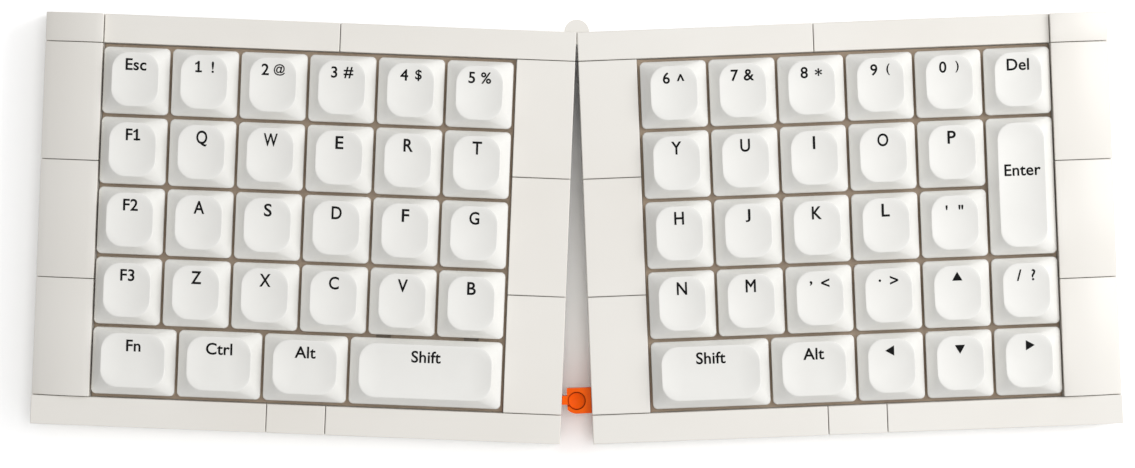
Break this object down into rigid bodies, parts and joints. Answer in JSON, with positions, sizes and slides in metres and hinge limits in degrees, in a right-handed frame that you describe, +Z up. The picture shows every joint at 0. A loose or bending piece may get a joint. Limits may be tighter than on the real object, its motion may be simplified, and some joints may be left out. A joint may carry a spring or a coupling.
{
  "type": "ergonomic split keyboard",
  "caption": "Ergonomic split keyboard: white dished keys in tiled stud frames, the halves joined by a rear hinge and an orange post-and-hook coupling.",
  "frame": {"origin": "on the desk, below the centre of the outline of both halves", "axes": "+X to the right half, +Y to the hinge at the rear, +Z up from the desk"},
  "size_m": [0.2964, 0.1174, 0.0177],
  "materials": {
    "frame_plastic": "fine satin",
    "tile_plastic": "smooth satin",
    "cap_plastic": "fine grain",
    "plate_paint": "matte sand",
    "board": "sand solder mask",
    "switch_plastic": "moulded",
    "spring_steel": "bright wire",
    "battery_foil": "foil",
    "foot_rubber": "matte",
    "screw_steel": "plated",
    "coupling_plastic": "satin"
  },
  "bodies": {
    "left_half": {"left_base_tray": "frame_plastic", "left_frame_tiles": "tile_plastic", "left_hinge_tile": "tile_plastic", "left_switch_plate": "plate_paint", "left_circuit_board": "board", "left_switches": "switch_plastic", "left_switch_springs": "spring_steel", "left_battery": "battery_foil", "left_feet": "foot_rubber", "left_screws": "screw_steel", "post_link": "coupling_plastic"},
    "right_half": {"right_base_tray": "frame_plastic", "right_frame_tiles": "tile_plastic", "right_hinge_tile": "tile_plastic", "right_switch_plate": "plate_paint", "right_circuit_board": "board", "right_switches": "switch_plastic", "right_switch_springs": "spring_steel", "right_battery": "battery_foil", "right_feet": "foot_rubber", "right_screws": "screw_steel", "hook_link": "coupling_plastic"},
    "key_esc": {"key_esc": "cap_plastic"},
    "left_number_keys": {"left_number_keys": "cap_plastic"},
    "function_keys": {"function_keys": "cap_plastic"},
    "modifier_keys": {"modifier_keys": "cap_plastic"},
    "key_left_shift": {"key_left_shift": "cap_plastic"},
    "key_q": {"key_q": "cap_plastic"},
    "key_w": {"key_w": "cap_plastic"},
    "key_e": {"key_e": "cap_plastic"},
    "key_r": {"key_r": "cap_plastic"},
    "key_t": {"key_t": "cap_plastic"},
    "key_a": {"key_a": "cap_plastic"},
    "key_s": {"key_s": "cap_plastic"},
    "key_d": {"key_d": "cap_plastic"},
    "key_f": {"key_f": "cap_plastic"},
    "key_g": {"key_g": "cap_plastic"},
    "key_z": {"key_z": "cap_plastic"},
    "key_x": {"key_x": "cap_plastic"},
    "key_c": {"key_c": "cap_plastic"},
    "key_v": {"key_v": "cap_plastic"},
    "key_b": {"key_b": "cap_plastic"},
    "right_number_keys": {"right_number_keys": "cap_plastic"},
    "key_del": {"key_del": "cap_plastic"},
    "key_enter": {"key_enter": "cap_plastic"},
    "punctuation_keys": {"punctuation_keys": "cap_plastic"},
    "arrow_keys": {"arrow_keys": "cap_plastic"},
    "key_right_shift": {"key_right_shift": "cap_plastic"},
    "key_right_alt": {"key_right_alt": "cap_plastic"},
    "key_y": {"key_y": "cap_plastic"},
    "key_u": {"key_u": "cap_plastic"},
    "key_i": {"key_i": "cap_plastic"},
    "key_o": {"key_o": "cap_plastic"},
    "key_p": {"key_p": "cap_plastic"},
    "key_h": {"key_h": "cap_plastic"},
    "key_j": {"key_j": "cap_plastic"},
    "key_k": {"key_k": "cap_plastic"},
    "key_l": {"key_l": "cap_plastic"},
    "key_n": {"key_n": "cap_plastic"},
    "key_m": {"key_m": "cap_plastic"}
  },
  "joints": [
    {"name": "angle_hinge", "type": "hinge", "parent": "left_half", "child": "right_half", "pos_m": [0, 0.0531, 0.0124], "axis": [0, 0, 1], "range_deg": [0, 40]},
    {"name": "press_esc", "type": "slide", "parent": "left_half", "child": "key_esc", "axis": [0, 0, -1], "range_m": [0, 0.0028], "stiffness_N_per_m": 100, "springref_m": -0.0035, "deforming": ["left_switch_springs"]},
    {"name": "press_left_number_keys", "type": "slide", "parent": "left_half", "child": "left_number_keys", "axis": [0, 0, -1], "range_m": [0, 0.0028], "stiffness_N_per_m": 500, "springref_m": -0.0035, "deforming": ["left_switch_springs"]},
    {"name": "press_function_keys", "type": "slide", "parent": "left_half", "child": "function_keys", "axis": [0, 0, -1], "range_m": [0, 0.0028], "stiffness_N_per_m": 300, "springref_m": -0.0035, "deforming": ["left_switch_springs"]},
    {"name": "press_modifier_keys", "type": "slide", "parent": "left_half", "child": "modifier_keys", "axis": [0, 0, -1], "range_m": [0, 0.0028], "stiffness_N_per_m": 300, "springref_m": -0.0035, "deforming": ["left_switch_springs"]},
    {"name": "press_left_shift", "type": "slide", "parent": "left_half", "child": "key_left_shift", "axis": [0, 0, -1], "range_m": [0, 0.0028], "stiffness_N_per_m": 100, "springref_m": -0.0035, "deforming": ["left_switch_springs"]},
    {"name": "press_q", "type": "slide", "parent": "left_half", "child": "key_q", "axis": [0, 0, -1], "range_m": [0, 0.0028], "stiffness_N_per_m": 100, "springref_m": -0.0035, "deforming": ["left_switch_springs"]},
    {"name": "press_w", "type": "slide", "parent": "left_half", "child": "key_w", "axis": [0, 0, -1], "range_m": [0, 0.0028], "stiffness_N_per_m": 100, "springref_m": -0.0035, "deforming": ["left_switch_springs"]},
    {"name": "press_e", "type": "slide", "parent": "left_half", "child": "key_e", "axis": [0, 0, -1], "range_m": [0, 0.0028], "stiffness_N_per_m": 100, "springref_m": -0.0035, "deforming": ["left_switch_springs"]},
    {"name": "press_r", "type": "slide", "parent": "left_half", "child": "key_r", "axis": [0, 0, -1], "range_m": [0, 0.0028], "stiffness_N_per_m": 100, "springref_m": -0.0035, "deforming": ["left_switch_springs"]},
    {"name": "press_t", "type": "slide", "parent": "left_half", "child": "key_t", "axis": [0, 0, -1], "range_m": [0, 0.0028], "stiffness_N_per_m": 100, "springref_m": -0.0035, "deforming": ["left_switch_springs"]},
    {"name": "press_a", "type": "slide", "parent": "left_half", "child": "key_a", "axis": [0, 0, -1], "range_m": [0, 0.0028], "stiffness_N_per_m": 100, "springref_m": -0.0035, "deforming": ["left_switch_springs"]},
    {"name": "press_s", "type": "slide", "parent": "left_half", "child": "key_s", "axis": [0, 0, -1], "range_m": [0, 0.0028], "stiffness_N_per_m": 100, "springref_m": -0.0035, "deforming": ["left_switch_springs"]},
    {"name": "press_d", "type": "slide", "parent": "left_half", "child": "key_d", "axis": [0, 0, -1], "range_m": [0, 0.0028], "stiffness_N_per_m": 100, "springref_m": -0.0035, "deforming": ["left_switch_springs"]},
    {"name": "press_f", "type": "slide", "parent": "left_half", "child": "key_f", "axis": [0, 0, -1], "range_m": [0, 0.0028], "stiffness_N_per_m": 100, "springref_m": -0.0035, "deforming": ["left_switch_springs"]},
    {"name": "press_g", "type": "slide", "parent": "left_half", "child": "key_g", "axis": [0, 0, -1], "range_m": [0, 0.0028], "stiffness_N_per_m": 100, "springref_m": -0.0035, "deforming": ["left_switch_springs"]},
    {"name": "press_z", "type": "slide", "parent": "left_half", "child": "key_z", "axis": [0, 0, -1], "range_m": [0, 0.0028], "stiffness_N_per_m": 100, "springref_m": -0.0035, "deforming": ["left_switch_springs"]},
    {"name": "press_x", "type": "slide", "parent": "left_half", "child": "key_x", "axis": [0, 0, -1], "range_m": [0, 0.0028], "stiffness_N_per_m": 100, "springref_m": -0.0035, "deforming": ["left_switch_springs"]},
    {"name": "press_c", "type": "slide", "parent": "left_half", "child": "key_c", "axis": [0, 0, -1], "range_m": [0, 0.0028], "stiffness_N_per_m": 100, "springref_m": -0.0035, "deforming": ["left_switch_springs"]},
    {"name": "press_v", "type": "slide", "parent": "left_half", "child": "key_v", "axis": [0, 0, -1], "range_m": [0, 0.0028], "stiffness_N_per_m": 100, "springref_m": -0.0035, "deforming": ["left_switch_springs"]},
    {"name": "press_b", "type": "slide", "parent": "left_half", "child": "key_b", "axis": [0, 0, -1], "range_m": [0, 0.0028], "stiffness_N_per_m": 100, "springref_m": -0.0035, "deforming": ["left_switch_springs"]},
    {"name": "press_right_number_keys", "type": "slide", "parent": "right_half", "child": "right_number_keys", "axis": [0, 0, -1], "range_m": [0, 0.0028], "stiffness_N_per_m": 500, "springref_m": -0.0035, "deforming": ["right_switch_springs"]},
    {"name": "press_del", "type": "slide", "parent": "right_half", "child": "key_del", "axis": [0, 0, -1], "range_m": [0, 0.0028], "stiffness_N_per_m": 100, "springref_m": -0.0035, "deforming": ["right_switch_springs"]},
    {"name": "press_enter", "type": "slide", "parent": "right_half", "child": "key_enter", "axis": [0, 0, -1], "range_m": [0, 0.0028], "stiffness_N_per_m": 100, "springref_m": -0.0035, "deforming": ["right_switch_springs"]},
    {"name": "press_punctuation_keys", "type": "slide", "parent": "right_half", "child": "punctuation_keys", "axis": [0, 0, -1], "range_m": [0, 0.0028], "stiffness_N_per_m": 400, "springref_m": -0.0035, "deforming": ["right_switch_springs"]},
    {"name": "press_arrow_keys", "type": "slide", "parent": "right_half", "child": "arrow_keys", "axis": [0, 0, -1], "range_m": [0, 0.0028], "stiffness_N_per_m": 400, "springref_m": -0.0035, "deforming": ["right_switch_springs"]},
    {"name": "press_right_shift", "type": "slide", "parent": "right_half", "child": "key_right_shift", "axis": [0, 0, -1], "range_m": [0, 0.0028], "stiffness_N_per_m": 100, "springref_m": -0.0035, "deforming": ["right_switch_springs"]},
    {"name": "press_right_alt", "type": "slide", "parent": "right_half", "child": "key_right_alt", "axis": [0, 0, -1], "range_m": [0, 0.0028], "stiffness_N_per_m": 100, "springref_m": -0.0035, "deforming": ["right_switch_springs"]},
    {"name": "press_y", "type": "slide", "parent": "right_half", "child": "key_y", "axis": [0, 0, -1], "range_m": [0, 0.0028], "stiffness_N_per_m": 100, "springref_m": -0.0035, "deforming": ["right_switch_springs"]},
    {"name": "press_u", "type": "slide", "parent": "right_half", "child": "key_u", "axis": [0, 0, -1], "range_m": [0, 0.0028], "stiffness_N_per_m": 100, "springref_m": -0.0035, "deforming": ["right_switch_springs"]},
    {"name": "press_i", "type": "slide", "parent": "right_half", "child": "key_i", "axis": [0, 0, -1], "range_m": [0, 0.0028], "stiffness_N_per_m": 100, "springref_m": -0.0035, "deforming": ["right_switch_springs"]},
    {"name": "press_o", "type": "slide", "parent": "right_half", "child": "key_o", "axis": [0, 0, -1], "range_m": [0, 0.0028], "stiffness_N_per_m": 100, "springref_m": -0.0035, "deforming": ["right_switch_springs"]},
    {"name": "press_p", "type": "slide", "parent": "right_half", "child": "key_p", "axis": [0, 0, -1], "range_m": [0, 0.0028], "stiffness_N_per_m": 100, "springref_m": -0.0035, "deforming": ["right_switch_springs"]},
    {"name": "press_h", "type": "slide", "parent": "right_half", "child": "key_h", "axis": [0, 0, -1], "range_m": [0, 0.0028], "stiffness_N_per_m": 100, "springref_m": -0.0035, "deforming": ["right_switch_springs"]},
    {"name": "press_j", "type": "slide", "parent": "right_half", "child": "key_j", "axis": [0, 0, -1], "range_m": [0, 0.0028], "stiffness_N_per_m": 100, "springref_m": -0.0035, "deforming": ["right_switch_springs"]},
    {"name": "press_k", "type": "slide", "parent": "right_half", "child": "key_k", "axis": [0, 0, -1], "range_m": [0, 0.0028], "stiffness_N_per_m": 100, "springref_m": -0.0035, "deforming": ["right_switch_springs"]},
    {"name": "press_l", "type": "slide", "parent": "right_half", "child": "key_l", "axis": [0, 0, -1], "range_m": [0, 0.0028], "stiffness_N_per_m": 100, "springref_m": -0.0035, "deforming": ["right_switch_springs"]},
    {"name": "press_n", "type": "slide", "parent": "right_half", "child": "key_n", "axis": [0, 0, -1], "range_m": [0, 0.0028], "stiffness_N_per_m": 100, "springref_m": -0.0035, "deforming": ["right_switch_springs"]},
    {"name": "press_m", "type": "slide", "parent": "right_half", "child": "key_m", "axis": [0, 0, -1], "range_m": [0, 0.0028], "stiffness_N_per_m": 100, "springref_m": -0.0035, "deforming": ["right_switch_springs"]}
  ]
}
